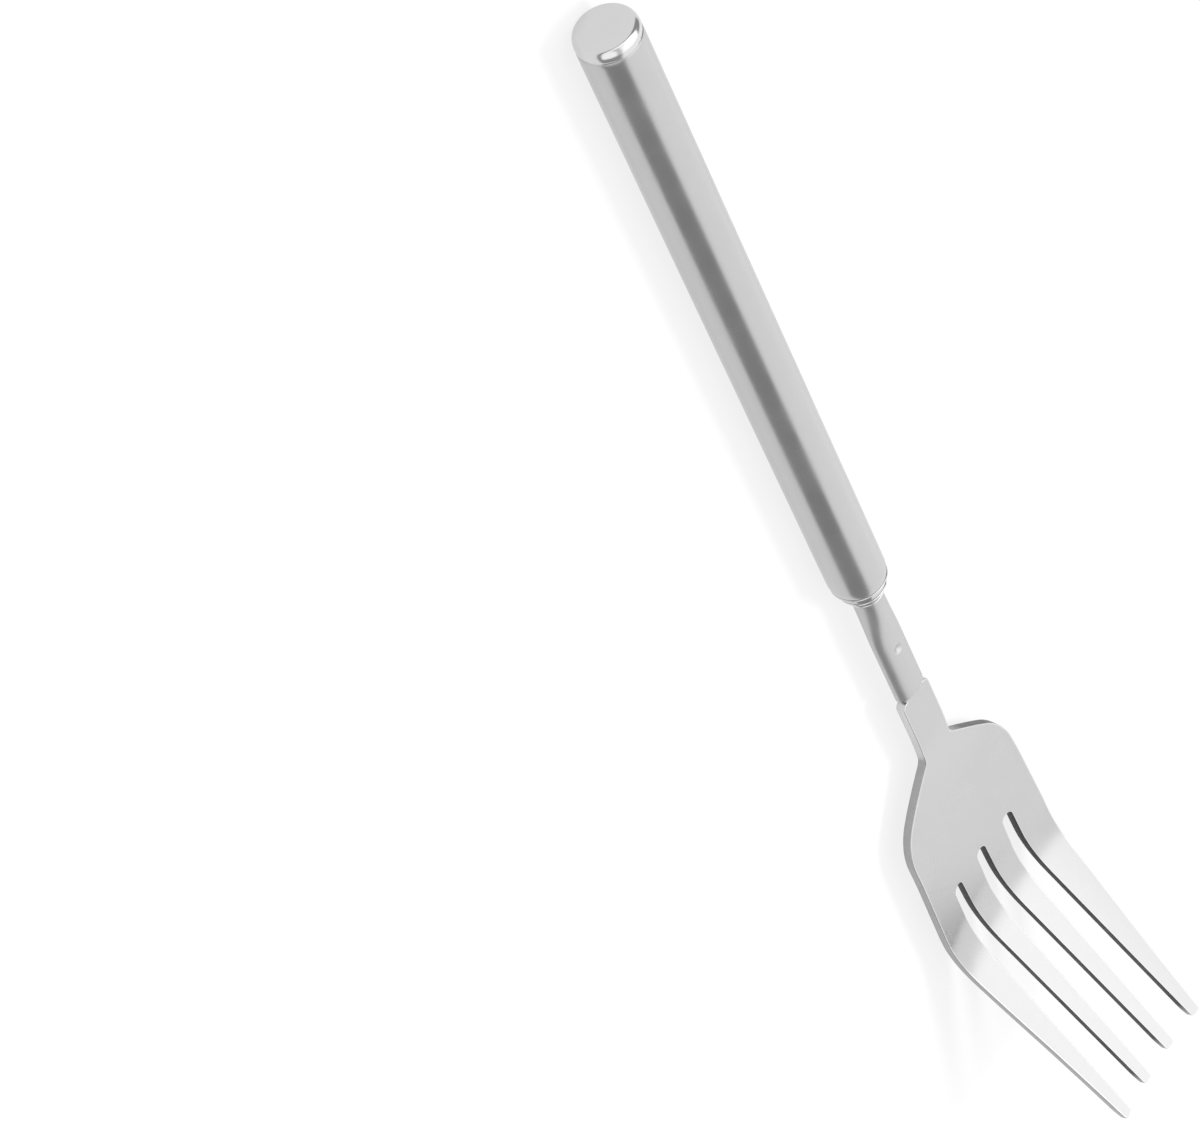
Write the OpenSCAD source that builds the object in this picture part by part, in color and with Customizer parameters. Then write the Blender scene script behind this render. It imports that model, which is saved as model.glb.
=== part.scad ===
// Telescoping marshmallow roasting fork, stored collapsed.
// The fork lies along X: the end cap at -X, the tines at +X, bent up towards +Z.
// Lengths marked "from the cap face" are measured along the tube axis.

/* [Handle] */
// Outer diameter of the handle tube
handle_d = 8.4; // [8.3:0.05:9]
// Wall thickness of the handle tube
handle_wall = 0.4; // [0.35:0.05:0.45]
// Handle mouth, from the cap face
handle_len = 112.95; // [106:0.05:113.7]
// Length over which the handle's mouth is rolled in
mouth_roll = 2.0; // [1.6:0.1:3]

/* [End cap] */
// Height of the polished rim round the flat face, across the axis
cap_rim = 0.45; // [0.3:0.05:0.6]
// Length of the polished rim from the flat face to its widest place
cap_rim_len = 0.9; // [0.6:0.05:1]
// Length of the cap's flange outside the tube
cap_flange = 1.75; // [1.6:0.05:2.2]
// Depth of the plug inside the tube, past the flange
cap_plug = 3.2; // [2:0.1:3.5]

/* [Sliding sections] */
// Outer diameter of section tube 1
section_1_d = 6.8; // [6.7:0.05:6.85]
// Outer diameter of section tube 2
section_2_d = 5.4; // [5.3:0.05:5.45]
// Wall thickness of both section tubes
section_wall = 0.3; // [0.25:0.05:0.35]
// How far section tube 1 stands out of the handle
section_1_out = 1.9; // [1:0.1:3]
// How far section tube 2 stands out of section tube 1
section_2_out = 1.5; // [1:0.1:3]

/* [Fork shaft] */
// Outer diameter of the fork shaft where it slides
shaft_d = 4.5; // [4.4:0.05:4.55]
// Wall thickness of the fork shaft
shaft_wall = 0.5; // [0.4:0.05:0.6]
// Front end of the shaft, from the cap face
shaft_end = 140.15; // [137:0.05:140.25]
// Width of the pressed-flat front of the shaft
flat_w = 5.5; // [5.2:0.05:5.7]
// Height of the pressed-flat front of the shaft
flat_h = 3.1; // [3:0.05:3.2]
// Diameter of the staking dimple
dimple_d = 1.8; // [1.2:0.1:2.2]
// Dimple, from the cap face
dimple_x = 129.45; // [127:0.05:132]

/* [Fork head] */
// Thickness of the head plate
head_t = 1.44; // [1.3:0.02:1.5]
// Width of the neck
neck_w = 6.1; // [5.8:0.1:6.4]
// End of the straight neck, from the cap face
neck_end = 154.8; // [153.5:0.1:155.5]
// Half width of the palm where the tines start to bend
palm_half = 13.25; // [12.75:0.05:13.75]
// Angle of the sloping shoulders to the neck
shoulder_angle = 40; // [38:1:44]
// Radius of the round shoulders
shoulder_r = 13; // [11:0.5:14.5]
// How far the palm lies below the neck at its centre line
palm_drop = 1.6; // [0:0.1:2]
// How far the palm's edges stand above its centre line
palm_dish = 1.4; // [0:0.1:2]

/* [Tines] */
// Start of the slots, along the plate from the cap face
slot_start = 184.35; // [182.5:0.05:185]
// Width of the slots at their round ends
slot_w = 2.07; // [1.6:0.01:2.4]
// Distance between tine centres at the slots
tine_pitch = 6.59; // [6.2:0.01:7]
// Distance between tine centres at the tips
tip_pitch = 6.46; // [6:0.01:7]
// Width of a tine just before its rounded tip
tip_w = 1.8; // [1.2:0.1:2.4]
// Tips, along the plate from the cap face
tip_s = 238.15; // [228:0.05:245]
// Start of the tines' bend, along the plate from the cap face
bend_start = 190.85; // [189.5:0.05:195]
// Radius of the tines' bend
bend_r = 23.1; // [15:0.1:30]
// Angle through which the tines bend up
tine_bend = 26.6; // [15:0.1:35]
// How far the outer tines' outer edges stand out from straight lines
outer_bow = 0.35; // [0:0.05:0.6]

/* [Fits] */
// Radial clearance of each sliding and turning fit
run_gap = 0.06; // [0.03:0.01:0.09]
// Length of each friction shim
shim_len = 5.6; // [4:0.1:6]

/* [Hidden] */
$fn = 96;

// Radii of the nested tubes
handle_r = handle_d / 2;
handle_bore = handle_r - handle_wall;
section_1_r = section_1_d / 2;
section_2_r = section_2_d / 2;
shaft_r = shaft_d / 2;
section_1_bore = section_1_r - section_wall;
section_2_bore = section_2_r - section_wall;
shaft_bore = shaft_r - shaft_wall;

// Each inner tube ends at the back in a flange and a groove that holds its shims
groove_depth = 0.2;
flange_len = 0.6;
shim_play = 0.1;
groove_len = shim_len + 2 * shim_play;
mouth_wall = 0.9;
lip_round = 0.28;
flange_gap = 0.12;
stage_gap = 1.0;

// Backs of the nested tubes and fronts of their mouths, from the cap face
section_1_back = cap_flange + cap_plug + 0.8;
section_2_back = section_1_back + flange_len + groove_len + stage_gap;
shaft_back = section_2_back + flange_len + groove_len + stage_gap;
section_1_front = handle_len + section_1_out;
section_2_front = section_1_front + section_2_out;

// Pressed-flat front of the shaft and the tang inside it
flat_start = 127.5;
// The pressing starts this much inside the round tube's wall
press_step = 0.05;
neck_down = section_2_front + 1.4;
tang_gap = 0.02;
tang_w = 3.9;
tang_back = 125.75;
neck_back = 141.05;
plate_top = head_t / 2;

// Outline of the head, at places along the plate from the cap face
outline_end = 188.95;
side_angle = 2;
neck_fillet = 2.6;
flank_back = neck_end + neck_fillet * sin(shoulder_angle);
flank_back_y = neck_w / 2 + neck_fillet * (1 - cos(shoulder_angle));
round_dy = shoulder_r * (cos(side_angle) - cos(shoulder_angle));
round_ds = shoulder_r * (sin(shoulder_angle) - sin(side_angle));
// Where the sloping flank meets the round shoulder, so that the side ends at palm_half
flank_len = (palm_half - tan(side_angle) * (outline_end - flank_back - round_ds)
             - round_dy - flank_back_y) / (tan(shoulder_angle) - tan(side_angle));
flank_front = flank_back + flank_len;
flank_front_y = flank_back_y + flank_len * tan(shoulder_angle);
round_front = flank_front + round_ds;
dish_half = 13.0;
drop_start = 148.55;
drop_run = 21.8;
dish_start = 151.95;
dish_run = 25.2;
tip_round = 0.7;
tip_t = 0.9;
tip_taper = 3;
bend_len = bend_r * tine_bend * PI / 180;

// The whole part is centred in X on its length and rests on the handle tube
total_len = line_x(tip_s) + tip_t * sin(tine_bend);

function clamp(u) = min(max(u, 0), 1);
function smooth(u) = let (v = clamp(u)) v * v * (3 - 2 * v);
function arc(cx, cy, r, from, to, n) =
    [for (i = [0:n]) let (a = from + (to - from) * i / n) [cx + r * cos(a), cy + r * sin(a)]];

// Centre line of the head's upper face at distance s along the plate
function bend_at(s) = min(max((s - bend_start) / bend_r * 180 / PI, 0), tine_bend);
function straight_at(s) = max(s - bend_start - bend_len, 0);
function line_x(s) = min(s, bend_start) + bend_r * sin(bend_at(s))
    + straight_at(s) * cos(tine_bend);
function line_z(s) = plate_top - palm_drop * smooth((s - drop_start) / drop_run)
    + bend_r * (1 - cos(bend_at(s))) + straight_at(s) * sin(tine_bend);
function dish_at(s, y) = palm_dish * smooth((s - dish_start) / dish_run) * pow(y / dish_half, 2);
function plate_point(s, y, depth) = let (a = bend_at(s), off = dish_at(s, y) - depth)
    [line_x(s) - off * sin(a), y, line_z(s) + off * cos(a)];

// Half width of the plate before the tines: tang, neck, flank, round shoulder, side
function neck_corner(s) = let (r = (neck_w - tang_w) / 2, u = clamp((neck_back + r - s) / r))
    tang_w / 2 + r * sqrt(1 - u * u);
function plate_half(s) =
    s <= neck_back ? tang_w / 2 :
    s <= neck_end ? neck_corner(s) :
    s <= flank_back ? neck_w / 2 + neck_fillet - sqrt(pow(neck_fillet, 2) - pow(s - neck_end, 2)) :
    s <= flank_front ? flank_back_y + (s - flank_back) * tan(shoulder_angle) :
    s <= round_front ? flank_front_y + shoulder_r * (cos(asin(sin(shoulder_angle)
        - (s - flank_front) / shoulder_r)) - cos(shoulder_angle)) :
    palm_half - (outline_end - s) * tan(side_angle);

// Tine edges: side -1 is the -Y edge and +1 the +Y edge of tine k = 0 to 3
function along_tine(s) = clamp((s - slot_start) / (tip_s - slot_start));
function tine_y(s, k) = (k - 1.5) * (tine_pitch + (tip_pitch - tine_pitch) * along_tine(s));
function tip_factor(s) = let (u = clamp((s - tip_s + tip_round) / tip_round)) 1 - 0.45 * u * u;
function slot_half(s) = let (r = slot_w / 2, u = clamp((s - slot_start) / r))
    r * sqrt(1 - pow(1 - u, 2));
function slot_edge(s, j, side) = let (full = (tine_pitch - slot_w) / 2,
    half = full + (tip_w / 2 - full) * along_tine(s),
    near = side > 0 ? tine_y(s, j) + half : tine_y(s, j + 1) - half,
    mid = (tine_y(s, j) + tine_y(s, j + 1)) / 2,
    open = slot_half(s) / (slot_w / 2))
    mid + (near - mid) * open;
// The bow's share of its greatest height, which lies a quarter of the way to the tip
function bow_at(u) = u * pow(1 - u, 3) / (0.25 * pow(0.75, 3));
function outer_edge(s) = s <= outline_end ? plate_half(s)
    : let (u = (s - outline_end) / (tip_s - outline_end))
    palm_half + (1.5 * tip_pitch + tip_w / 2 - palm_half) * u + outer_bow * bow_at(u);
// Inner seams of the plate before the slots run straight on into the slots' round ends
function seam_y(s, j) = (j - 1) * tine_pitch * min(1, plate_half(s) / (1.7 * tine_pitch));
function side_edge(s, k, side) =
    (k == 0 && side < 0) ? -outer_edge(s) :
    (k == 3 && side > 0) ? outer_edge(s) :
    let (j = side > 0 ? k : k - 1) s < slot_start ? seam_y(s, j) : slot_edge(s, j, side);
function strip_y(s, k, m) = let (a = side_edge(s, k, -1), b = side_edge(s, k, 1),
    mid = (a + b) / 2, f = tip_factor(s)) mid + (b - a) / 2 * f * (m - 1);
function plate_depth(s) = head_t - (head_t - tip_t)
    * pow(clamp((s - tip_s + tip_taper) / tip_taper), 2);

module placed() translate([-total_len / 2, 0, handle_r]) children();

// Turns a profile of [distance along X, radius] points about the X axis
module turned(profile)
    rotate([0, 90, 0]) rotate_extrude() polygon([for (p = profile) [p[1], p[0]]]);

// A sliding tube: flange and shim groove at the back, rounded lip and reduced mouth in front
module sliding_tube(back, front, r, bore, mouth) {
    step = back + flange_len + groove_len;
    groove_bore = bore - groove_depth;
    turned(concat(
        [[back, groove_bore], [back, r + flange_gap], [back + flange_len, r + flange_gap],
         [back + flange_len, r - groove_depth], [step, r - groove_depth], [step, r]],
        arc(front - lip_round, r - lip_round, lip_round, 90, 0, 6),
        [[front, mouth], [front - mouth_wall, mouth],
         [front - mouth_wall - 0.5, bore], [step + 0.6, bore], [step, groove_bore]]));
}

// Half of the friction sleeve that sits in an inner tube's groove: side +1 is the upper half
module shim(back, groove_r, bore, side) {
    inner = groove_r + run_gap;
    outer = bore - run_gap;
    x = back + flange_len + shim_play;
    intersection() {
        turned([[x, inner], [x, outer - 0.1], [x + 0.4, outer], [x + shim_len - 0.4, outer],
                [x + shim_len, outer - 0.1], [x + shim_len, inner]]);
        translate([x - 1, -10, side > 0 ? 0 : -10]) cube([shim_len + 2, 20, 10]);
    }
}

module handle_tube() {
    back = cap_flange;
    lip_r = section_1_r + run_gap + 0.28;
    roll = handle_r - lip_r;
    color("silver") turned(concat(
        [[back, handle_bore], [back, handle_r - 0.3]],
        [for (i = [1:5]) let (a = 18 * i)
            [back + 0.6 * (1 - cos(a)), handle_r - 0.3 + 0.3 * sin(a)]],
        [for (i = [0:8]) let (a = 11.25 * i)
            [handle_len - mouth_roll * (1 - sin(a)), lip_r + roll * cos(a)]],
        [[handle_len, section_1_r + run_gap],
         [handle_len - 1.0, section_1_r + run_gap],
         [handle_len - 1.7, handle_bore]]));
}

module end_cap() {
    rim_r = handle_r - 0.02;
    crease_r = rim_r - 0.18;
    color("gainsboro") turned(concat(
        [[0, 0]],
        [for (a = [0:15:90]) [cap_rim_len * (1 - cos(a)), rim_r - cap_rim * (1 - sin(a))]],
        [[cap_rim_len + 0.3, rim_r - 0.04], [cap_flange - 0.2, crease_r],
         [cap_flange, crease_r], [cap_flange, handle_bore + 0.01],
         [cap_flange + cap_plug - 0.4, handle_bore + 0.01],
         [cap_flange + cap_plug, handle_bore - 0.3], [cap_flange + cap_plug, 0]]));
}

module section_tube_1() color("silver")
    sliding_tube(section_1_back, section_1_front, section_1_r, section_1_bore,
                 section_2_r + run_gap);

module section_tube_2() color("silver")
    sliding_tube(section_2_back, section_2_front, section_2_r, section_2_bore,
                 shaft_r + run_gap);

// Oval bar of the pressed tube, from x to x + len
module flat_bar(x, len, w, h)
    translate([x, 0, 0]) rotate([90, 0, 90]) linear_extrude(len) polygon(
        [for (a = [0:7.5:352.5]) [w / 2 * cos(a), h / 2 * sin(a)]]);

module fork_shaft() color("silver") difference() {
    union() {
        step = shaft_back + flange_len + groove_len;
        turned([[shaft_back, shaft_bore - 0.1], [shaft_back, shaft_r],
                [shaft_back + flange_len, shaft_r], [shaft_back + flange_len, shaft_r - groove_depth],
                [step, shaft_r - groove_depth], [step, shaft_r], [neck_down, shaft_r],
                [neck_down, 0], [neck_down - 1, 0], [neck_down - 1, shaft_bore],
                [step, shaft_bore], [step - 0.3, shaft_bore - 0.1]]);
        hull() {
            translate([neck_down - 0.5, 0, 0]) rotate([0, 90, 0])
                cylinder(r = shaft_r - press_step, h = 0.4, $fn = 48);
            flat_bar(flat_start + 0.1, 0.4, flat_w - 0.02, flat_h - 0.02);
        }
        flat_bar(flat_start, shaft_end - flat_start, flat_w, flat_h);
    }
    translate([tang_back - 1, -tang_w / 2 - tang_gap, -head_t / 2 - tang_gap])
        cube([shaft_end, tang_w + 2 * tang_gap, head_t + 2 * tang_gap]);
    // Staking dimple: a ball pressed into the upper flat
    dimple_depth = 0.36;
    dimple_r = (pow(dimple_d / 2, 2) + pow(dimple_depth, 2)) / (2 * dimple_depth);
    translate([dimple_x, 0, flat_h / 2 - dimple_depth + dimple_r]) sphere(r = dimple_r);
}

// The stamped plate as one skin over strips, one strip per tine, joined before the slots
module fork_head() {
    stations = concat(
        [tang_back, neck_back - 0.3],
        [for (i = [0:4]) neck_back + (neck_w - tang_w) / 2 * i / 4 + 0.02],
        [drop_start - 3, drop_start, (drop_start + neck_end) / 2],
        [for (i = [0:3]) neck_end + (flank_back - neck_end) * i / 3],
        [flank_back + flank_len / 2],
        [for (i = [0:7]) flank_front + round_ds * i / 7],
        [for (i = [1:3]) round_front + (slot_start - round_front) * i / 4],
        [for (i = [0:5]) slot_start + slot_w / 2 * pow(i / 5, 2)],
        [for (i = [1:3]) slot_start + slot_w / 2 + (outline_end - slot_start - slot_w / 2) * i / 3],
        [for (i = [0:6]) bend_start + bend_len * i / 6],
        [for (i = [1:4]) bend_start + bend_len + (tip_s - tip_taper - bend_start - bend_len) * i / 4],
        [tip_s - 0.6 * tip_taper],
        [for (i = [0:3]) tip_s - tip_round * (1 - i / 3)]);
    last = len(stations) - 1;
    split = [for (i = [0:last]) if (stations[i] <= slot_start) i];
    first_slot = split[len(split) - 1];
    points = [for (i = [0:last], k = [0:3], m = [0:2], b = [0:1])
        let (s = stations[i]) plate_point(s, strip_y(s, k, m), b * plate_depth(s))];
    // Point number; strips share their seam up to the slot's end
    function at(i, k, m, b) = (m == 2 && k < 3 && i <= first_slot)
        ? at(i, k + 1, 0, b) : ((i * 4 + k) * 3 + m) * 2 + b;
    function quad(a, b, c, d) = [[a, b, c], [a, c, d]];
    skins = [for (i = [0:last - 1], k = [0:3], m = [0:1]) each concat(
        quad(at(i, k, m, 0), at(i, k, m + 1, 0), at(i + 1, k, m + 1, 0), at(i + 1, k, m, 0)),
        quad(at(i, k, m, 1), at(i + 1, k, m, 1), at(i + 1, k, m + 1, 1), at(i, k, m + 1, 1)))];
    left_walls = [for (i = [0:last - 1], k = [0:3]) if (k == 0 || i >= first_slot) each
        quad(at(i, k, 0, 0), at(i + 1, k, 0, 0), at(i + 1, k, 0, 1), at(i, k, 0, 1))];
    right_walls = [for (i = [0:last - 1], k = [0:3]) if (k == 3 || i >= first_slot) each
        quad(at(i, k, 2, 0), at(i, k, 2, 1), at(i + 1, k, 2, 1), at(i + 1, k, 2, 0))];
    ends = [for (k = [0:3], m = [0:1]) each concat(
        quad(at(0, k, m, 0), at(0, k, m, 1), at(0, k, m + 1, 1), at(0, k, m + 1, 0)),
        quad(at(last, k, m, 0), at(last, k, m + 1, 0), at(last, k, m + 1, 1), at(last, k, m, 1)))];
    color("lightgray") polyhedron(points, concat(skins, left_walls, right_walls, ends));
}

module friction_shim_1(side) color("goldenrod")
    shim(section_1_back, section_1_r - groove_depth, handle_bore, side);
module friction_shim_2(side) color("goldenrod")
    shim(section_2_back, section_2_r - groove_depth, section_1_bore, side);
module friction_shim_3(side) color("goldenrod")
    shim(shaft_back, shaft_r - groove_depth, section_2_bore, side);

placed() handle_tube();
placed() end_cap();
placed() section_tube_1();
placed() section_tube_2();
placed() fork_shaft();
placed() fork_head();
placed() friction_shim_1(1);  // friction_shim_1_upper
placed() friction_shim_1(-1);  // friction_shim_1_lower
placed() friction_shim_2(1);  // friction_shim_2_upper
placed() friction_shim_2(-1);  // friction_shim_2_lower
placed() friction_shim_3(1);  // friction_shim_3_upper
placed() friction_shim_3(-1);  // friction_shim_3_lower
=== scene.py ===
"""Looks of the telescoping roasting fork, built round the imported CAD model.

Lengths are in millimetres in the frame of part.scad until place() turns them into metres in the
model's frame: x runs along the fork from the face of the end cap, y across it, z up from the tube
axis. A turned profile is a list of [x, radius]. Points on the flat plate are [s, y], where s is
the length along the plate, equal to x up to the tines' bend.
"""

import math

import bpy
import numpy as np
from mathutils import Matrix, Vector
from mathutils.geometry import delaunay_2d_cdt


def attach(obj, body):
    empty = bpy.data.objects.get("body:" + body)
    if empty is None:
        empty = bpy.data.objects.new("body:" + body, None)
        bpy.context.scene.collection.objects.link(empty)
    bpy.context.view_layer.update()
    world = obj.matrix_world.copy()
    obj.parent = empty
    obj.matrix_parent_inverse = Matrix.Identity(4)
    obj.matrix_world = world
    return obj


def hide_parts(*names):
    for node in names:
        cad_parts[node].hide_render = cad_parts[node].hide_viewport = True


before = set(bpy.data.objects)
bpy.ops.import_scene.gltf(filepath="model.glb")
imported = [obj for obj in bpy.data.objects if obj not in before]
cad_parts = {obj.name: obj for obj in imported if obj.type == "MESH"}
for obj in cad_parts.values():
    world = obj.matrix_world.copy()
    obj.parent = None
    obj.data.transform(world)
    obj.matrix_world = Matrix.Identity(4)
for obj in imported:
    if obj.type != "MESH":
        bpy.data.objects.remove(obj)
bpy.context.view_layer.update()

MM = 0.001

# --- Sizes shared with part.scad -------------------------------------------------------------
HANDLE_R = 4.2
HANDLE_BORE = 3.8
HANDLE_LEN = 112.95
MOUTH_ROLL = 2.0
CAP_FLANGE = 1.75
CAP_PLUG = 3.2
SECTION_R = (3.4, 2.7)
SECTION_WALL = 0.3
SHAFT_R = 2.25
SHAFT_WALL = 0.5
SHAFT_END = 140.15
FLAT_W, FLAT_H = 5.5, 3.1
DIMPLE_D, DIMPLE_X, DIMPLE_DEPTH = 1.8, 129.45, 0.36
RUN_GAP = 0.06
GROOVE_DEPTH, FLANGE_LEN, FLANGE_GAP = 0.2, 0.6, 0.12
GROOVE_LEN = 5.8
STAGE_GAP = 1.0
MOUTH_WALL = 0.9
LIP_WALL = 0.28
SECTION_1_BACK = 5.75
SECTION_2_BACK = SECTION_1_BACK + FLANGE_LEN + GROOVE_LEN + STAGE_GAP
SHAFT_BACK = SECTION_2_BACK + FLANGE_LEN + GROOVE_LEN + STAGE_GAP
SECTION_1_FRONT = HANDLE_LEN + 1.9
SECTION_2_FRONT = SECTION_1_FRONT + 1.5
FLAT_START = 127.5
NECK_DOWN = SECTION_2_FRONT + 1.4

HEAD_T, TIP_T = 1.44, 0.9
TANG_W, TANG_BACK, NECK_BACK = 3.9, 125.75, 141.05
NECK_W, NECK_END, NECK_FILLET = 6.1, 154.8, 2.6
PALM_HALF, SHOULDER_R, OUTER_BOW = 13.25, 13.0, 0.35
SHOULDER_ANGLE, SIDE_ANGLE = math.radians(40), math.radians(2)
PALM_DROP, PALM_DISH, DISH_HALF = 1.6, 1.4, 13.0
DROP_START, DROP_RUN, DISH_START, DISH_RUN = 148.55, 21.8, 151.95, 25.2
OUTLINE_END = 188.95
SLOT_START, SLOT_W = 184.35, 2.07
TINE_PITCH, TIP_PITCH, TIP_W, TIP_S = 6.59, 6.46, 1.8, 238.15
BEND_START, BEND_R, TINE_BEND = 190.85, 23.1, math.radians(26.6)
BEND_LEN = BEND_R * TINE_BEND
TIP_CORNER, TIP_TAPER = 0.58, 3

FLANK_BACK = NECK_END + NECK_FILLET * math.sin(SHOULDER_ANGLE)
FLANK_BACK_Y = NECK_W / 2 + NECK_FILLET * (1 - math.cos(SHOULDER_ANGLE))
ROUND_DY = SHOULDER_R * (math.cos(SIDE_ANGLE) - math.cos(SHOULDER_ANGLE))
ROUND_DS = SHOULDER_R * (math.sin(SHOULDER_ANGLE) - math.sin(SIDE_ANGLE))
FLANK_LEN = ((PALM_HALF - math.tan(SIDE_ANGLE) * (OUTLINE_END - FLANK_BACK - ROUND_DS)
              - ROUND_DY - FLANK_BACK_Y) / (math.tan(SHOULDER_ANGLE) - math.tan(SIDE_ANGLE)))
FLANK_FRONT = FLANK_BACK + FLANK_LEN
FLANK_FRONT_Y = FLANK_BACK_Y + FLANK_LEN * math.tan(SHOULDER_ANGLE)
ROUND_FRONT = FLANK_FRONT + ROUND_DS


# --- The head plate's surface, as in part.scad -----------------------------------------------
def smooth(u):
    v = np.clip(u, 0, 1)
    return v * v * (3 - 2 * v)


def bend_at(s):
    """Angle by which the plate has turned up at s."""
    return np.clip((s - BEND_START) / BEND_R, 0, TINE_BEND)


def straight_at(s):
    """Length of straight tine between the end of the bend and s."""
    return np.maximum(s - BEND_START - BEND_LEN, 0)


def line_x(s):
    """x of the upper face's middle line."""
    return (np.minimum(s, BEND_START) + BEND_R * np.sin(bend_at(s))
            + straight_at(s) * math.cos(TINE_BEND))


def line_z(s):
    """z of the upper face's middle line."""
    return (HEAD_T / 2 - PALM_DROP * smooth((s - DROP_START) / DROP_RUN)
            + BEND_R * (1 - np.cos(bend_at(s))) + straight_at(s) * math.sin(TINE_BEND))


def plate_points(s, y, depth):
    """Points at depth below the plate's upper face, s along it and y across it."""
    bend = bend_at(s)
    off = PALM_DISH * smooth((s - DISH_START) / DISH_RUN) * (y / DISH_HALF) ** 2 - depth
    return np.stack([line_x(s) - off * np.sin(bend), y, line_z(s) + off * np.cos(bend)], 1)


def plate_half(s):
    """Half width of the plate before the tines: tang, neck, flank, round shoulder, side."""
    if s <= NECK_BACK:
        return TANG_W / 2
    if s <= NECK_END:
        r = (NECK_W - TANG_W) / 2
        u = min(max((NECK_BACK + r - s) / r, 0), 1)
        return TANG_W / 2 + r * math.sqrt(1 - u * u)
    if s <= FLANK_BACK:
        return NECK_W / 2 + NECK_FILLET - math.sqrt(NECK_FILLET ** 2 - (s - NECK_END) ** 2)
    if s <= FLANK_FRONT:
        return FLANK_BACK_Y + (s - FLANK_BACK) * math.tan(SHOULDER_ANGLE)
    if s <= ROUND_FRONT:
        slope = math.asin(math.sin(SHOULDER_ANGLE) - (s - FLANK_FRONT) / SHOULDER_R)
        return FLANK_FRONT_Y + SHOULDER_R * (math.cos(slope) - math.cos(SHOULDER_ANGLE))
    return PALM_HALF - (OUTLINE_END - s) * math.tan(SIDE_ANGLE)


def outer_edge(s):
    """Half width of the whole outline; the outer tines bow out a little."""
    if s <= OUTLINE_END:
        return plate_half(s)
    tip = 1.5 * TIP_PITCH + TIP_W / 2
    u = (s - OUTLINE_END) / (TIP_S - OUTLINE_END)
    bow = u * (1 - u) ** 3 / (0.25 * 0.75 ** 3)  # 1 at its highest, where u is 0.25
    return PALM_HALF + (tip - PALM_HALF) * u + OUTER_BOW * bow


def along_tine(s):
    """0 at the slots' back ends, 1 at the tips."""
    return min(max((s - SLOT_START) / (TIP_S - SLOT_START), 0), 1)


def tine_y(s, k):
    """Centre line of tine k, counted from the -Y side."""
    return (k - 1.5) * (TINE_PITCH + (TIP_PITCH - TINE_PITCH) * along_tine(s))


def slot_edge(s, j, side):
    """Slot j's -Y edge (side -1) or +Y edge (side 1), rounded at the slot's back end."""
    full = (TINE_PITCH - SLOT_W) / 2
    half = full + (TIP_W / 2 - full) * along_tine(s)
    near = tine_y(s, j) + half if side < 0 else tine_y(s, j + 1) - half
    mid = (tine_y(s, j) + tine_y(s, j + 1)) / 2
    r = SLOT_W / 2
    u = min(max((s - SLOT_START) / r, 0), 1)
    return mid + (near - mid) * math.sqrt(max(0, 1 - (1 - u) ** 2))


def thickness(s):
    """The plate's thickness, which tapers at the tips."""
    return HEAD_T - (HEAD_T - TIP_T) * np.clip((s - TIP_S + TIP_TAPER) / TIP_TAPER, 0, 1) ** 2


# --- Mesh tools ------------------------------------------------------------------------------
TOTAL_LEN = float(line_x(TIP_S)) + TIP_T * math.sin(TINE_BEND)


def place(points):
    """The points in metres in the model's frame, whose origin is under the fork's middle."""
    return (np.asarray(points, float) + (-TOTAL_LEN / 2, 0, HANDLE_R)) * MM


def piece(name, points, faces, body, node, material, sharp=38, edge=None, wall=None):
    """Makes a smooth-shaded mesh that rides on body and stands for the CAD node.

    Edges that turn by more than sharp degrees stay sharp. edge and the shade mark are marks per
    point for the material, from 0 to 1: edge for rubbing and a painted highlight, the shade mark
    for painted shade.
    """
    mesh = bpy.data.meshes.new(name)
    mesh.from_pydata([tuple(p) for p in place(points)], [], [tuple(f) for f in faces])
    mesh.update()
    for title, values in (("edge", edge), ("wall", wall)):
        if values is not None:
            attribute = mesh.attributes.new(title, "FLOAT", "POINT")
            attribute.data.foreach_set("value", np.asarray(values, np.float32))
    mesh.shade_smooth()
    mesh.set_sharp_from_angle(angle=math.radians(sharp))
    mesh.materials.append(material)
    obj = bpy.data.objects.new(name, mesh)
    bpy.context.scene.collection.objects.link(obj)
    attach(obj, body)
    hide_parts(node)


def arc(cx, cr, rx, rr, start, end, steps):
    """Points of a profile along an elliptical arc, angles in degrees."""
    angles = np.radians(np.linspace(start, end, steps + 1))
    return [[cx + rx * math.cos(a), cr + rr * math.sin(a)] for a in angles]


def refined(profile, support=0.05, longest=3.0, closed=True):
    """Adds points beside corners and along long runs, so smooth shading stays where it bends."""
    out = []
    count = len(profile)
    for i in range(count if closed else count - 1):
        a, b = np.array(profile[i], float), np.array(profile[(i + 1) % count], float)
        length = np.linalg.norm(b - a)
        out.append(a)
        if length > 5 * support:
            inner = max(1, math.ceil((length - 2 * support) / longest))
            for t in np.linspace(support / length, 1 - support / length, inner + 1):
                out.append(a + (b - a) * t)
    if not closed:
        out.append(np.array(profile[-1], float))
    return out


def revolved(profile, steps=160):
    """A closed profile turned about the X axis; points on the axis become poles."""
    points, faces, rings = [], [], []
    for x, r in profile:
        if r < 1e-6:
            rings.append([len(points)] * steps)
            points.append((x, 0, 0))
        else:
            rings.append(list(range(len(points), len(points) + steps)))
            points += [(x, r * math.cos(a), r * math.sin(a))
                       for a in np.arange(steps) * 2 * math.pi / steps]
    pole_to_pole = len(set(rings[0])) == 1
    for i in range(len(rings) - (1 if pole_to_pole else 0)):
        a, b = rings[i], rings[(i + 1) % len(rings)]
        for k in range(steps):
            quad = [a[k], b[k], b[(k + 1) % steps], a[(k + 1) % steps]]
            face = [v for n, v in enumerate(quad) if v not in quad[:n]]
            if len(face) > 2:
                faces.append(face[::-1])
    return points, faces


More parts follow.
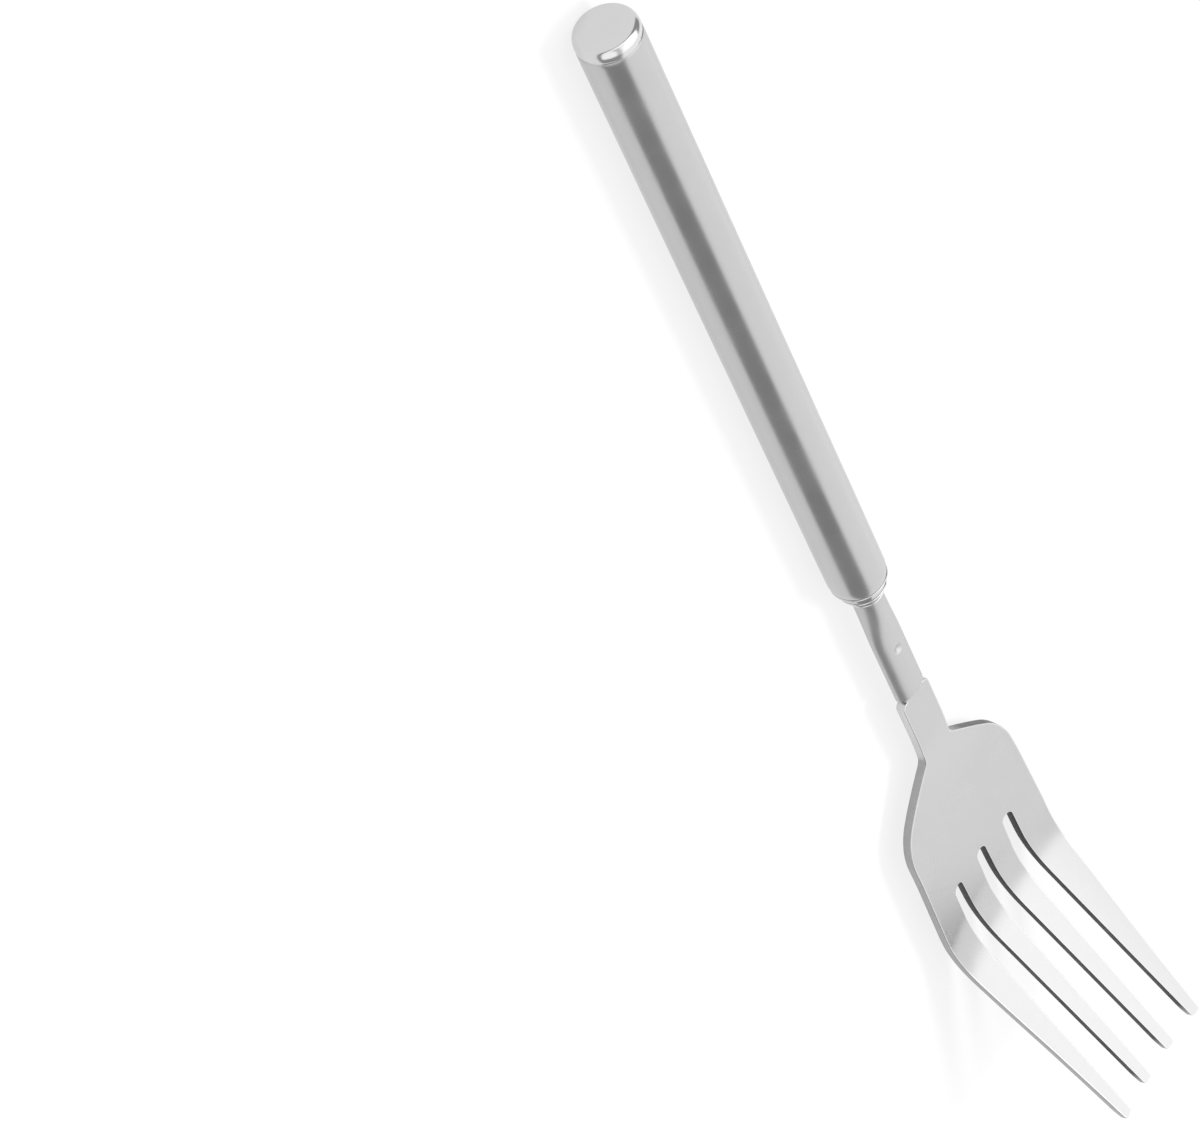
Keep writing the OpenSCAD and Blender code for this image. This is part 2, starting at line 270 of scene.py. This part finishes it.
# --- Materials -------------------------------------------------------------------------------
def link(tree, a, b):
    tree.links.new(a, b)


def noise(tree, coords, scale, detail, rough=0.55, stretch=(1, 1, 1), shift=(0, 0, 0)):
    """Noise with scale features per metre, fewer along an axis where stretch is small."""
    mapping = tree.nodes.new("ShaderNodeMapping")
    mapping.inputs["Scale"].default_value = [scale * v for v in stretch]
    mapping.inputs["Location"].default_value = shift
    link(tree, coords, mapping.inputs["Vector"])
    node = tree.nodes.new("ShaderNodeTexNoise")
    node.inputs["Scale"].default_value = 1.0
    node.inputs["Detail"].default_value = detail
    node.inputs["Roughness"].default_value = rough
    link(tree, mapping.outputs[0], node.inputs["Vector"])
    return node.outputs["Fac"]


def ranged(tree, value, low, high, start=0.3, stop=0.7):
    """value taken from the range start to stop, where most noise lies, to low to high."""
    node = tree.nodes.new("ShaderNodeMapRange")
    node.inputs["From Min"].default_value, node.inputs["From Max"].default_value = start, stop
    node.inputs["To Min"].default_value, node.inputs["To Max"].default_value = low, high
    link(tree, value, node.inputs["Value"])
    return node.outputs["Result"]


def feed(tree, socket, value):
    """Sets a socket to a number, or links another node's output to it."""
    if isinstance(value, (int, float)):
        socket.default_value = value
    else:
        link(tree, value, socket)


def maths(tree, operation, *values):
    node = tree.nodes.new("ShaderNodeMath")
    node.operation = operation
    for socket, value in zip(node.inputs, values):
        feed(tree, socket, value)
    return node.outputs[0]


def steel(name, tone, tint=(1, 1, 1), rough=0.28, lines=(1, 1, 1), line_scale=3000,
          line_depth=0.5, mottle=0.03, wear_and_sheen=0.0, painted_shade=0.0, polish=0.0):
    """Satin metal: brushing lines, cloudy roughness, fine grain, rare scratches.

    The vertex attribute "edge" marks edges, which the edge amount makes lighter, for rubbing and
    a painted highlight, and polish smoother; the shade mark marks sheared sides and the hollows
    at a tube's mouth, which the shade amount makes darker, as painted shade, and rougher.
    """
    mat = bpy.data.materials.new(name)
    mat.use_nodes = True
    tree = mat.node_tree
    shader = tree.nodes["Principled BSDF"]
    shader.inputs["Metallic"].default_value = 1.0
    coords = tree.nodes.new("ShaderNodeTexCoord").outputs["Object"]
    # Clouds of about 6 mm, patches of 1.5 mm, brushing lines, grain of 0.1 mm, long scratches
    clouds = noise(tree, coords, 160, 3)
    patches = noise(tree, coords, 700, 3, shift=(3, 1, 2))
    brushing = noise(tree, coords, line_scale, 3, 0.6, lines, (1, 5, 2))
    grain = noise(tree, coords, 9000, 2, 0.5, shift=(7, 2, 4))
    scratches = noise(tree, coords, 1, 2, 0.6, (90, 2600, 2600), (11, 3, 8))
    scratch = ranged(tree, scratches, 0, 1, 0.69, 0.74)  # only the noise's rare peaks
    shade = maths(tree, "ADD", ranged(tree, clouds, 1 - mottle, 1 + mottle),
                  ranged(tree, brushing, -0.6 * mottle, 0.6 * mottle))
    shade = maths(tree, "ADD", shade, ranged(tree, patches, -0.3 * mottle, 0.3 * mottle))
    roughness = maths(tree, "ADD", ranged(tree, clouds, rough - 0.035, rough + 0.035),
                      ranged(tree, brushing, -0.04 * line_depth, 0.04 * line_depth))
    roughness = maths(tree, "ADD", roughness, maths(tree, "MULTIPLY", scratch, -0.06))
    # Marked edges: lighter, for rubbing and a painted highlight, and smoother by polish.
    if wear_and_sheen or polish:
        edge = tree.nodes.new("ShaderNodeAttribute")
        edge.attribute_name = "edge"
        rub_and_sheen = maths(tree, "MULTIPLY", edge.outputs["Fac"], ranged(tree, patches, 0.75, 1.0))
        shade = maths(tree, "ADD", shade, maths(tree, "MULTIPLY", rub_and_sheen, wear_and_sheen))
        roughness = maths(tree, "SUBTRACT", roughness, maths(tree, "MULTIPLY", rub_and_sheen, polish))
    # Painted shade: the marked sheared sides and hollows are darkened, with streaks, and made
    # rougher.
    if painted_shade:
        shade_input = tree.nodes.new("ShaderNodeAttribute")
        shade_input.attribute_name = "wall"
        streaks = noise(tree, coords, 5200, 3, 0.6, (1, 1, 0.12), (4, 9, 1))
        amount = maths(tree, "MULTIPLY", shade_input.outputs["Fac"], ranged(tree, streaks, 0.9, 1.06))
        shade = maths(tree, "MULTIPLY", shade,
                      maths(tree, "SUBTRACT", 1.0, maths(tree, "MULTIPLY", amount, painted_shade)))
        roughness = maths(tree, "ADD", roughness, maths(tree, "MULTIPLY", amount, 0.3))
    colour = tree.nodes.new("ShaderNodeVectorMath")
    colour.operation = "SCALE"
    colour.inputs[0].default_value = [tone * c for c in tint]
    link(tree, shade, colour.inputs["Scale"])
    link(tree, colour.outputs[0], shader.inputs["Base Color"])
    link(tree, roughness, shader.inputs["Roughness"])
    height = maths(tree, "ADD", maths(tree, "MULTIPLY", brushing, line_depth),
                   maths(tree, "MULTIPLY", grain, 0.12))
    height = maths(tree, "SUBTRACT", height, maths(tree, "MULTIPLY", scratch, 0.5))
    bump = tree.nodes.new("ShaderNodeBump")
    bump.inputs["Strength"].default_value = 0.25
    bump.inputs["Distance"].default_value = 0.006 * MM
    link(tree, height, bump.inputs["Height"])
    link(tree, bump.outputs[0], shader.inputs["Normal"])
    return mat


ROUND_LINES = (1, 0.02, 0.02)
DRAWN_LINES = (0.02, 1, 1)
# The edge amounts lighten marked edges, for rubbing and painted highlights; the shade amounts
# darken marked sides and hollows as painted shade.
handle_steel = steel("handle_steel", 0.50, rough=0.25, lines=ROUND_LINES, line_scale=4500,
                     line_depth=0.06, mottle=0.012, wear_and_sheen=0.22, painted_shade=0.9)
cap_steel = steel("cap_steel", 0.625, rough=0.2, line_scale=2500, line_depth=0.12, mottle=0.016,
                  wear_and_sheen=0.02, polish=0.03)
section_steel = steel("section_steel", 0.56, rough=0.18, lines=DRAWN_LINES, line_depth=0.2,
                      mottle=0.02, wear_and_sheen=0.12, painted_shade=0.9)
shaft_steel = steel("shaft_steel", 0.50, rough=0.38, lines=DRAWN_LINES, line_depth=0.2,
                    mottle=0.02, wear_and_sheen=0.2)
head_steel = steel("head_steel", 0.505, rough=0.25, lines=(0.05, 1, 1), line_scale=2600,
                   line_depth=0.25, mottle=0.02, wear_and_sheen=0.28, painted_shade=0.93)
shim_brass = steel("shim_brass", 0.72, tint=(1.0, 0.74, 0.36), rough=0.3, lines=DRAWN_LINES)


# --- Tubes and cap ---------------------------------------------------------------------------
def end_cap():
    """Flat satin face, glossy bead with a faint painted highlight, a crease where the handle's
    end begins, and the plug.
    """
    outer = HANDLE_R - 0.02
    bead_len, bead_r = 1.3, 0.70
    turn_len, turn_r = 0.26, 0.14
    crease_len, crease_r = 0.17, outer - 0.09
    plug_end = CAP_FLANGE + CAP_PLUG
    plug_bevel, plug_tip_r = 0.4, 3.5
    profile = [[0, r] for r in (0, 2.0, 2.8, 3.2)]
    profile += arc(bead_len, outer - bead_r, bead_len, bead_r, 180, 90, 26)
    profile += arc(bead_len, outer - turn_r, turn_len, turn_r, 90, 12, 8)[1:]
    profile += [[CAP_FLANGE - crease_len, crease_r], [CAP_FLANGE, crease_r],
                [CAP_FLANGE, HANDLE_BORE], [plug_end - plug_bevel, HANDLE_BORE],
                [plug_end, plug_tip_r], [plug_end, 0]]
    points, faces = revolved(refined(profile, closed=False))
    face_depth, face_r = 0.02, 3.5
    # The bead is marked to be smoother and a little lighter, the lightening a painted highlight.
    polish_and_sheen = [1.0 if face_depth < x < CAP_FLANGE and math.hypot(y, z) > face_r else 0.0
                for x, y, z in points]
    piece("end_cap_bead", points, faces, "handle", "end_cap", cap_steel,
          edge=polish_and_sheen)


def lip_bead(front, top, mouth):
    """Profile of the fine valley, the small rolled bead and the rounded bore that end a tube."""
    bead, bore_round = 0.15, 0.1
    valley = [[front - 2.6 * bead, top - 0.07], [front - 2.2 * bead, top - 0.11]]
    rolled = arc(front - bead, top - bead, bead, bead, 165, 0, 12)
    bore = arc(front - bore_round, mouth + bore_round, bore_round, bore_round, 0, -90, 5)
    return valley + rolled + bore


def lip_marks(points, front, mouth):
    """Marks a tube's mouth: the bead lighter, for rubbing and a painted highlight, and the valley
    and bore beside it darker, as painted shade.
    """
    bead_back, valley_front, valley_back, bore_back = 0.29, 0.31, 0.41, 0.5
    bore_depth, valley_shade = 0.11, 0.75
    edge, wall = [], []
    for x, y, z in points:
        behind = front - x
        outside = math.hypot(y, z) - mouth > bore_depth
        # Painted highlight, with rubbing, on the bead; painted shade in the valley and the bore.
        edge.append(1.0 if outside and behind < bead_back else 0.0)
        if outside:
            wall.append(valley_shade if valley_front < behind < valley_back else 0.0)
        else:
            wall.append(1.0 if behind < bore_back else 0.0)
    return edge, wall


def handle():
    """Outer tube: rounded back edge, rolled-in mouth with a rounded lip."""
    inner = SECTION_R[0] + RUN_GAP
    lip = SECTION_R[0] + RUN_GAP + LIP_WALL
    roll = HANDLE_R - lip
    end_round, end_r = 0.12, 4.05
    swell_end, swell_len, swell_r = CAP_FLANGE + 0.75, 0.62, 0.08
    lip_back, taper_back = HANDLE_LEN - 1.0, HANDLE_LEN - 1.7
    profile = [[CAP_FLANGE, HANDLE_BORE + 0.01]]
    profile += arc(CAP_FLANGE + end_round, end_r, end_round, end_round, 180, 110, 4)
    profile += arc(swell_end, HANDLE_R - swell_r, swell_len, swell_r, 160, 90, 8)
    profile += arc(HANDLE_LEN - MOUTH_ROLL, lip, MOUTH_ROLL - 0.1, roll, 90, 38, 16)[1:]
    # The roll has come down to 0.62 of its height there, and the bead stands a little proud
    profile += lip_bead(HANDLE_LEN, lip + 0.62 * roll + 0.05, inner)
    profile += [[lip_back, inner], [taper_back, HANDLE_BORE]]
    points, faces = revolved(refined(profile), 192)
    edge, wall = lip_marks(points, HANDLE_LEN, inner)
    piece("handle_grip", points, faces, "handle", "handle_tube", handle_steel,
          edge=edge, wall=wall)


def section(name, body, node, back, front, r, mouth):
    """Sliding tube with its shim groove at the back and a rolled, turned-in lip in front."""
    step = back + FLANGE_LEN + GROOVE_LEN
    bore = r - SECTION_WALL
    groove_bore = bore - GROOVE_DEPTH
    lip_len, lip_proud, lip_taper, step_wall = 0.6, 0.03, 0.5, 0.6
    profile = [[back, groove_bore], [back, r + FLANGE_GAP],
               [back + FLANGE_LEN, r + FLANGE_GAP], [back + FLANGE_LEN, r - GROOVE_DEPTH],
               [step, r - GROOVE_DEPTH], [step, r], [front - lip_len, r]]
    profile += lip_bead(front, r + lip_proud, mouth)
    profile += [[front - MOUTH_WALL, mouth], [front - MOUTH_WALL - lip_taper, bore],
                [step + step_wall, bore], [step, groove_bore]]
    points, faces = revolved(refined(profile))
    edge, wall = lip_marks(points, front, mouth)
    piece(name, points, faces, body, node, section_steel, edge=edge, wall=wall)


# --- Fork shaft ------------------------------------------------------------------------------
AROUND = 224


def oval_ring(w, h):
    """An ellipse's points as [y, z]."""
    a = np.arange(AROUND) * 2 * math.pi / AROUND
    return np.stack([w / 2 * np.cos(a), h / 2 * np.sin(a)], 1)


def fork_shaft():
    """Round tube pressed flat in front, staked with one dimple, squared off at the end."""
    step = SHAFT_BACK + FLANGE_LEN + GROOVE_LEN
    profile = [[SHAFT_BACK, SHAFT_R - SHAFT_WALL], [SHAFT_BACK, SHAFT_R],
               [SHAFT_BACK + FLANGE_LEN, SHAFT_R],
               [SHAFT_BACK + FLANGE_LEN, SHAFT_R - GROOVE_DEPTH],
               [step, SHAFT_R - GROOVE_DEPTH], [step, SHAFT_R], [NECK_DOWN, SHAFT_R]]
    rings = [(x, oval_ring(2 * r, 2 * r)) for x, r in refined(profile, closed=False)]
    flat = oval_ring(FLAT_W, FLAT_H)
    circle = oval_ring(2 * SHAFT_R, 2 * SHAFT_R)
    for t in np.linspace(0, 1, 41)[1:]:
        rings.append((NECK_DOWN + (FLAT_START - NECK_DOWN) * t,
                      circle + (flat - circle) * smooth(t)))
    # Close rings at the dimple, wide ones elsewhere
    near_dimple = np.linspace(DIMPLE_X - 1.4, DIMPLE_X + 1.4, 45)
    ring_places = (127.8, *near_dimple, 131.6, 132.5, 134, 135.5, 137, 138.3, 139.3)
    rings += [(x, flat) for x in ring_places]
    end_round = 0.18
    for a in np.radians(np.linspace(0, 90, 5)):
        shrink = end_round * (1 - math.cos(a))
        rings.append((SHAFT_END - end_round * (1 - math.sin(a)),
                      oval_ring(FLAT_W - 2 * shrink, FLAT_H - 2 * shrink)))
    # The slit for the tang, cut out of an oval; the piece's mesh closes 6 mm inside it
    half_slit = np.array((2.02, 0.76))
    slit = np.clip(oval_ring(5.0, 2.6), -half_slit, half_slit)
    rings += [(SHAFT_END - depth, slit) for depth in (0, 0.6, 6)]
    bowl_power, rim_d, rim_drop = 1.15, 1.5, 0.2
    # The end's rounding is marked lighter: a painted highlight line, with rubbing.
    rub_and_sheen_back, rub_and_sheen_front = SHAFT_END - 0.17, SHAFT_END - 0.001
    points, faces, edge = [], [], []
    for x, ring in rings:
        for y, z in ring:
            edge.append(1.0 if rub_and_sheen_back < x < rub_and_sheen_front else 0.0)
            # A shallow punched bowl, drawn down a little all round
            d = math.hypot(x - DIMPLE_X, y) / (DIMPLE_D / 2)
            if z > 0 and d < 1:
                z -= DIMPLE_DEPTH * (1 - d ** bowl_power)
            elif z > 0 and d < rim_d:
                z -= rim_drop * (rim_d - d) * (d - 1)
            points.append((x, y, z))
    for i in range(len(rings) - 1):
        for k in range(AROUND):
            a, b = i * AROUND + k, i * AROUND + (k + 1) % AROUND
            faces.append((a, b, b + AROUND, a + AROUND))
    last = (len(rings) - 1) * AROUND
    faces.append(tuple(range(last, last + AROUND)))
    faces.append(tuple(range(AROUND))[::-1])
    piece("shaft_tube", points, faces, "fork", "fork_shaft", shaft_steel, 32, edge)


# --- Fork head -------------------------------------------------------------------------------
def head_outline():
    """The plate's outline as [s, y], laid flat, once round from the tang's -Y corner."""
    def run(a, b, step):
        """Places from a to b, about step apart."""
        return list(np.linspace(a, b, max(2, int(round((b - a) / step)) + 1)))

    back = run(TANG_BACK, NECK_BACK, 1.0)[:-1]
    corner = (NECK_W - TANG_W) / 2
    back += [NECK_BACK + corner * (1 - math.cos(a)) for a in np.radians(np.linspace(0, 90, 9))]
    back += run(NECK_BACK + corner, NECK_END, 0.7)[1:]
    back += run(NECK_END, FLANK_BACK, 0.16)[1:] + run(FLANK_BACK, FLANK_FRONT, 0.5)[1:]
    back += run(FLANK_FRONT, ROUND_FRONT, 0.4)[1:] + run(ROUND_FRONT, OUTLINE_END, 0.6)[1:]
    tine_end = TIP_S - TIP_CORNER
    front = run(OUTLINE_END, tine_end, 0.6)[1:]
    r = SLOT_W / 2
    slot = [SLOT_START + r * (1 - math.cos(a)) for a in np.radians(np.linspace(0, 90, 10))]
    slot += run(SLOT_START + r, tine_end, 0.6)[1:]

    def tip(low, high):
        """Two rounded corners across a tine's end, from its -Y edge to its +Y edge."""
        c = TIP_CORNER
        turn = np.radians(np.linspace(0, 90, 6))
        first = [[tine_end + c * math.sin(a), low + c - c * math.cos(a)] for a in turn[1:]]
        second = [[tine_end + c * math.cos(a), high - c + c * math.sin(a)] for a in turn]
        return first + second

    out = [[s, -outer_edge(s)] for s in back + front]
    for k in range(4):
        low = -outer_edge(tine_end) if k == 0 else slot_edge(tine_end, k - 1, 1)
        high = outer_edge(tine_end) if k == 3 else slot_edge(tine_end, k, -1)
        out += tip(low, high)[:-1]
        if k < 3:
            out += [[s, slot_edge(s, k, -1)] for s in slot[::-1]]
            out += [[s, slot_edge(s, k, 1)] for s in slot[1:]]
    out += [[s, outer_edge(s)] for s in (back + front)[::-1]]
    return np.array(out)


def soften(values):
    """A looped run of values, averaged over five neighbours."""
    return sum(np.roll(values, k) for k in range(-2, 3)) / 5


def inset(outline, distance):
    """The outline moved inwards by distance, a number for each point, along its bisectors."""
    before = outline - np.roll(outline, 1, 0)
    after = np.roll(outline, -1, 0) - outline
    before /= np.linalg.norm(before, axis=1)[:, None]
    after /= np.linalg.norm(after, axis=1)[:, None]
    normal = np.stack([-(before + after)[:, 1], (before + after)[:, 0]], 1)
    normal /= np.linalg.norm(normal, axis=1)[:, None]
    square = np.stack([-before[:, 1], before[:, 0]], 1)
    return outline + normal * (distance / np.maximum((normal * square).sum(1), 0.5))[:, None]


def inside(points, loop, margin):
    """Which points lie inside the loop and at least margin away from it."""
    a, b = loop, np.roll(loop, -1, 0)
    keep = np.zeros(len(points), bool)
    for n, p in enumerate(points):
        cross = ((a[:, 1] > p[1]) != (b[:, 1] > p[1]))
        run = a[cross, 0] + (p[1] - a[cross, 1]) / (b[cross, 1] - a[cross, 1]) * (b - a)[cross, 0]
        if (run > p[0]).sum() % 2:
            t = np.clip(((p - a) * (b - a)).sum(1) / ((b - a) ** 2).sum(1), 0, 1)
            keep[n] = np.linalg.norm(a + (b - a) * t[:, None] - p, axis=1).min() > margin
    return keep


def filled(loop, spacing):
    """Interior points and triangles of a loop; indices below len(loop) are the loop's own."""
    s = np.arange(loop[:, 0].min(), loop[:, 0].max(), spacing)
    y = np.arange(-14, 14, spacing * 0.866)  # wider than the head, in rows of triangles
    grid = np.array([(a + (spacing / 2 if n % 2 else 0), b) for n, b in enumerate(y) for a in s])
    grid = grid[inside(grid, loop, 0.45 * spacing)]
    count = len(loop)
    edges = [(i, (i + 1) % count) for i in range(count)]
    verts = [Vector(p) for p in loop] + [Vector(p) for p in grid]
    _, _, faces, origin, _, _ = delaunay_2d_cdt(verts, edges, [], 1, 1e-7)
    back = [o[0] for o in origin]
    return grid, [[back[i] for i in f] for f in faces]


def edge_shade_and_rounding(outline):
    """Painted shade on the sheared side at each point, and the upper and lower edges' rounding.
    """
    at_s, at_y = outline.T
    step = np.roll(outline, -1, 0) - np.roll(outline, 1, 0)
    across = np.abs(step[:, 1]) / np.linalg.norm(step, axis=1)
    inside_edge = np.array([outer_edge(s) for s in at_s]) - np.abs(at_y)
    slot = (inside_edge > 0.8) & (at_s > SLOT_START - 0.1)
    slot_end = slot & (across > 0.5)
    tip = at_s > TIP_S - 1.2
    palm = at_s > NECK_END
    # The +Y shoulder, from just past the neck's fillet
    shoulder = (at_s > NECK_END + 1.4) & (at_s < ROUND_FRONT) & (across > 0.3) & (at_y > 4.8)
    # Painted shade on the sheared sides: full in the slots, less on the +Y shoulder and the
    # slots' round ends, less again on the palm and the tips, and faint round the neck.
    wall = np.select([tip, slot_end, slot, shoulder, palm], [0.3, 0.7, 1.0, 0.8, 0.46], 0.07)
    top_round = np.select([slot, palm & (at_y < 0)], [0.05, 0.18], 0.13)
    low_round = np.where(slot, 0.05, 0.12)
    return soften(wall), soften(top_round), soften(low_round)


def head_loops(outline):
    """The upper and the lower loops, each (inset, depth from its face, edge mark, shade mark)."""
    shade_input, top_round, low_round = edge_shade_and_rounding(outline)
    zero, one = np.zeros(len(outline)), np.ones(len(outline))
    hold = 0.12  # a loop this far inside each rounding keeps the faces' shading flat
    # The rounding rings carry the edge mark, for rubbing and a painted highlight, and the sheared
    # side its painted shade.
    upper = [(top_round + hold, zero, zero, zero)]
    for a in np.radians(np.linspace(0, 90, 6)):
        out = 1 - math.sin(a)
        upper.append((top_round * out, top_round * (1 - math.cos(a)), one,
                      shade_input if out < 0.05 else zero))
    lower = []
    for a in np.radians(np.linspace(0, 90, 4)):
        out = 1 - math.cos(a)
        lower.append((low_round * out, -low_round * (1 - math.sin(a)), 0.8 * one,
                      shade_input * (1 - out)))
    lower.append((low_round + hold, zero, zero, zero))
    return upper, lower


def fork_head():
    """One stamped plate: rounded upper edges, crisper lower ones, dished palm, bent tines."""
    outline = head_outline()
    count = len(outline)
    flat, depth, edge, wall = [], [], [], []
    for loops, bottom in zip(head_loops(outline), (False, True)):
        # Each loop brings its inset, depth, edge mark for rubbing and painted highlight, and
        # shade mark.
        for move, down, rub_and_sheen, painted_shade in loops:
            loop = inset(outline, move)
            flat.append(loop)
            depth.append(thickness(loop[:, 0]) + down if bottom else down)
            edge.append(rub_and_sheen)
            wall.append(painted_shade)
    faces = []
    for i in range(len(flat) - 1):
        for k in range(count):
            a, b = i * count + k, i * count + (k + 1) % count
            faces.append((a, a + count, b + count, b))
    total = len(flat) * count
    for loop, first, bottom in ((flat[0], 0, False), (flat[-1], total - count, True)):
        grid, triangles = filled(loop, 0.75)
        for triangle in triangles:
            ids = [first + i if i < count else total + i - count for i in triangle]
            faces.append(ids[::-1] if bottom else ids)
        flat.append(grid)
        depth.append(thickness(grid[:, 0]) if bottom else np.zeros(len(grid)))
        for marks in (edge, wall):
            marks.append(np.zeros(len(grid)))
        total += len(grid)
    flat, depth = np.concatenate(flat), np.concatenate(depth)
    edge, wall = np.concatenate(edge), np.concatenate(wall)
    points = plate_points(flat[:, 0], flat[:, 1], depth)
    piece("head_plate", points, faces, "fork", "fork_head", head_steel, 50, edge,
          wall)


end_cap()
handle()
section("section_1_sleeve", "section_1", "section_tube_1", SECTION_1_BACK, SECTION_1_FRONT,
        SECTION_R[0], SECTION_R[1] + RUN_GAP)
section("section_2_sleeve", "section_2", "section_tube_2", SECTION_2_BACK, SECTION_2_FRONT,
        SECTION_R[1], SHAFT_R + RUN_GAP)
fork_shaft()
fork_head()
for number in (1, 2, 3):
    for half in ("upper", "lower"):
        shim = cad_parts[f"friction_shim_{number}_{half}"]
        shim.material_slots[0].material = shim_brass


# --- Floor, studio surroundings, lights and camera -------------------------------------------
def floor():
    """A pale, softly lit table top, on which the fork leaves only a faint shadow."""
    mesh = bpy.data.meshes.new("floor")
    half = 4.0
    corners = [(-half, -half, 0), (half, -half, 0), (half, half, 0), (-half, half, 0)]
    mesh.from_pydata(corners, [], [(0, 1, 2, 3)])
    mat = bpy.data.materials.new("floor")
    mat.use_nodes = True
    shader = mat.node_tree.nodes["Principled BSDF"]
    shader.inputs["Base Color"].default_value = (0.13, 0.13, 0.13, 1)
    shader.inputs["Roughness"].default_value = 1.0
    shader.inputs["Specular IOR Level"].default_value = 0.0
    shader.inputs["Emission Color"].default_value = (1, 1, 1, 1)
    shader.inputs["Emission Strength"].default_value = 0.80
    mesh.materials.append(mat)
    obj = bpy.data.objects.new("floor", mesh)
    bpy.context.scene.collection.objects.link(obj)


def surroundings():
    """The light that the steel reflects, by direction; the camera itself sees a plain backdrop.

    Ahead of the viewer (+X) there is a fill with a darker near side. Behind the viewer there is a
    bright softbox from a certain height up, with one dimmer seam.
    """
    world = bpy.data.worlds.new("studio")
    bpy.context.scene.world = world
    world.use_nodes = True
    tree = world.node_tree
    direction = tree.nodes.new("ShaderNodeTexCoord").outputs["Generated"]
    split = tree.nodes.new("ShaderNodeSeparateXYZ")
    link(tree, direction, split.inputs[0])
    x, y, z = split.outputs

    def step(value, low, high):
        """Smooth step of value from 0 at low to 1 at high."""
        node = tree.nodes.new("ShaderNodeMapRange")
        node.interpolation_type = "SMOOTHSTEP"
        node.inputs["From Min"].default_value, node.inputs["From Max"].default_value = low, high
        link(tree, value, node.inputs["Value"])
        return node.outputs["Result"]

    def mix(a, b, by):
        node = tree.nodes.new("ShaderNodeMix")
        for socket, value in zip((node.inputs[n] for n in (0, 2, 3)), (by, a, b)):
            feed(tree, socket, value)
        return node.outputs[0]

    dark, fill, key, near_key, seam_light = 0.35, 1.2, 1.85, 1.35, 0.7
    # Cosine of the direction's angle about the X axis, measured from +Y
    about = maths(tree, "DIVIDE", y, maths(tree, "SQRT", maths(
        tree, "ADD", maths(tree, "MULTIPLY", y, y), maths(tree, "MULTIPLY", z, z))))
    ahead = mix(dark, fill, step(about, -0.44, -0.24))
    # The softbox's lower edge rises from the near side to the far side in two steps
    lower_edge = maths(tree, "ADD", mix(0.21, 0.36, step(y, -0.1, 0.35)),
                       maths(tree, "MULTIPLY", step(y, 0.38, 0.62), 0.24))
    above = maths(tree, "SUBTRACT", z, lower_edge)
    # It fades towards the near side and, high up, towards the back of that side
    high_back = maths(tree, "MULTIPLY", maths(tree, "SUBTRACT", 1.0, step(x, -0.65, -0.25)),
                      maths(tree, "MULTIPLY", step(z, 0.45, 0.65),
                            maths(tree, "SUBTRACT", 1.0, step(y, 0.05, 0.3))))
    faded = maths(tree, "MULTIPLY", mix(near_key, key, step(y, -0.45, 0.25)),
                  maths(tree, "SUBTRACT", 1.0, maths(tree, "MULTIPLY", high_back, 0.2)))
    behind = mix(dark, faded, step(above, -0.03, 0.03))
    seam_y = -0.42
    from_seam = maths(tree, "ABSOLUTE", maths(tree, "ADD", y, -seam_y))
    seam = maths(tree, "MULTIPLY", step(from_seam, 0.15, 0.08), step(z, 0.4, 0.6))
    behind = mix(behind, seam_light, seam)
    light = mix(behind, ahead, step(x, 0.37, 0.43))
    background = tree.nodes["Background"]
    lit = tree.nodes.new("ShaderNodeBackground")
    lit.inputs["Color"].default_value = (1, 1, 1, 1)
    link(tree, light, lit.inputs["Strength"])
    background.inputs["Color"].default_value = (0.93, 0.93, 0.93, 1)
    seen = tree.nodes.new("ShaderNodeLightPath").outputs["Is Camera Ray"]
    choose = tree.nodes.new("ShaderNodeMixShader")
    link(tree, seen, choose.inputs[0])
    link(tree, lit.outputs[0], choose.inputs[1])
    link(tree, background.outputs[0], choose.inputs[2])
    link(tree, choose.outputs[0], tree.nodes["World Output"].inputs["Surface"])


def key_light():
    """A soft lamp from the far side; it lights only the floor, where it draws a faint shadow."""
    data = bpy.data.lights.new("shadow_lamp", "AREA")
    data.shape, data.size, data.energy = "DISK", 0.35, 12.0
    lamp = bpy.data.objects.new("shadow_lamp", data)
    toward = Vector((0.15, 0.45, 0.85)).normalized()
    distance = 1.3
    lamp.location = toward * distance
    lamp.rotation_mode = "QUATERNION"
    lamp.rotation_quaternion = toward.to_track_quat("Z", "Y")
    lamp.visible_glossy = False
    lamp.visible_camera = False
    bpy.context.scene.collection.objects.link(lamp)


def camera():
    """Long lens, looking down the fork from behind and above its cap."""
    data = bpy.data.cameras.new("camera")
    data.lens, data.sensor_width = 141.0, 36.0
    data.clip_start, data.clip_end = 0.01, 50.0
    obj = bpy.data.objects.new("camera", data)
    bpy.context.scene.collection.objects.link(obj)
    # The photo's right and up directions, as fitted, then made exactly square to each other
    right = Vector((0.2988, 0.5583, 0.7740))
    back = right.cross(Vector((-0.5567, 0.7607, -0.3338))).normalized()
    up = back.cross(right).normalized()
    matrix = Matrix((right.normalized(), up, back)).transposed().to_4x4()
    matrix.translation = Vector((-0.49830, -0.22367, 0.31211))
    obj.matrix_world = matrix
    bpy.context.scene.camera = obj


floor()
surroundings()
key_light()
camera()
bpy.context.scene.view_settings.view_transform = "Standard"
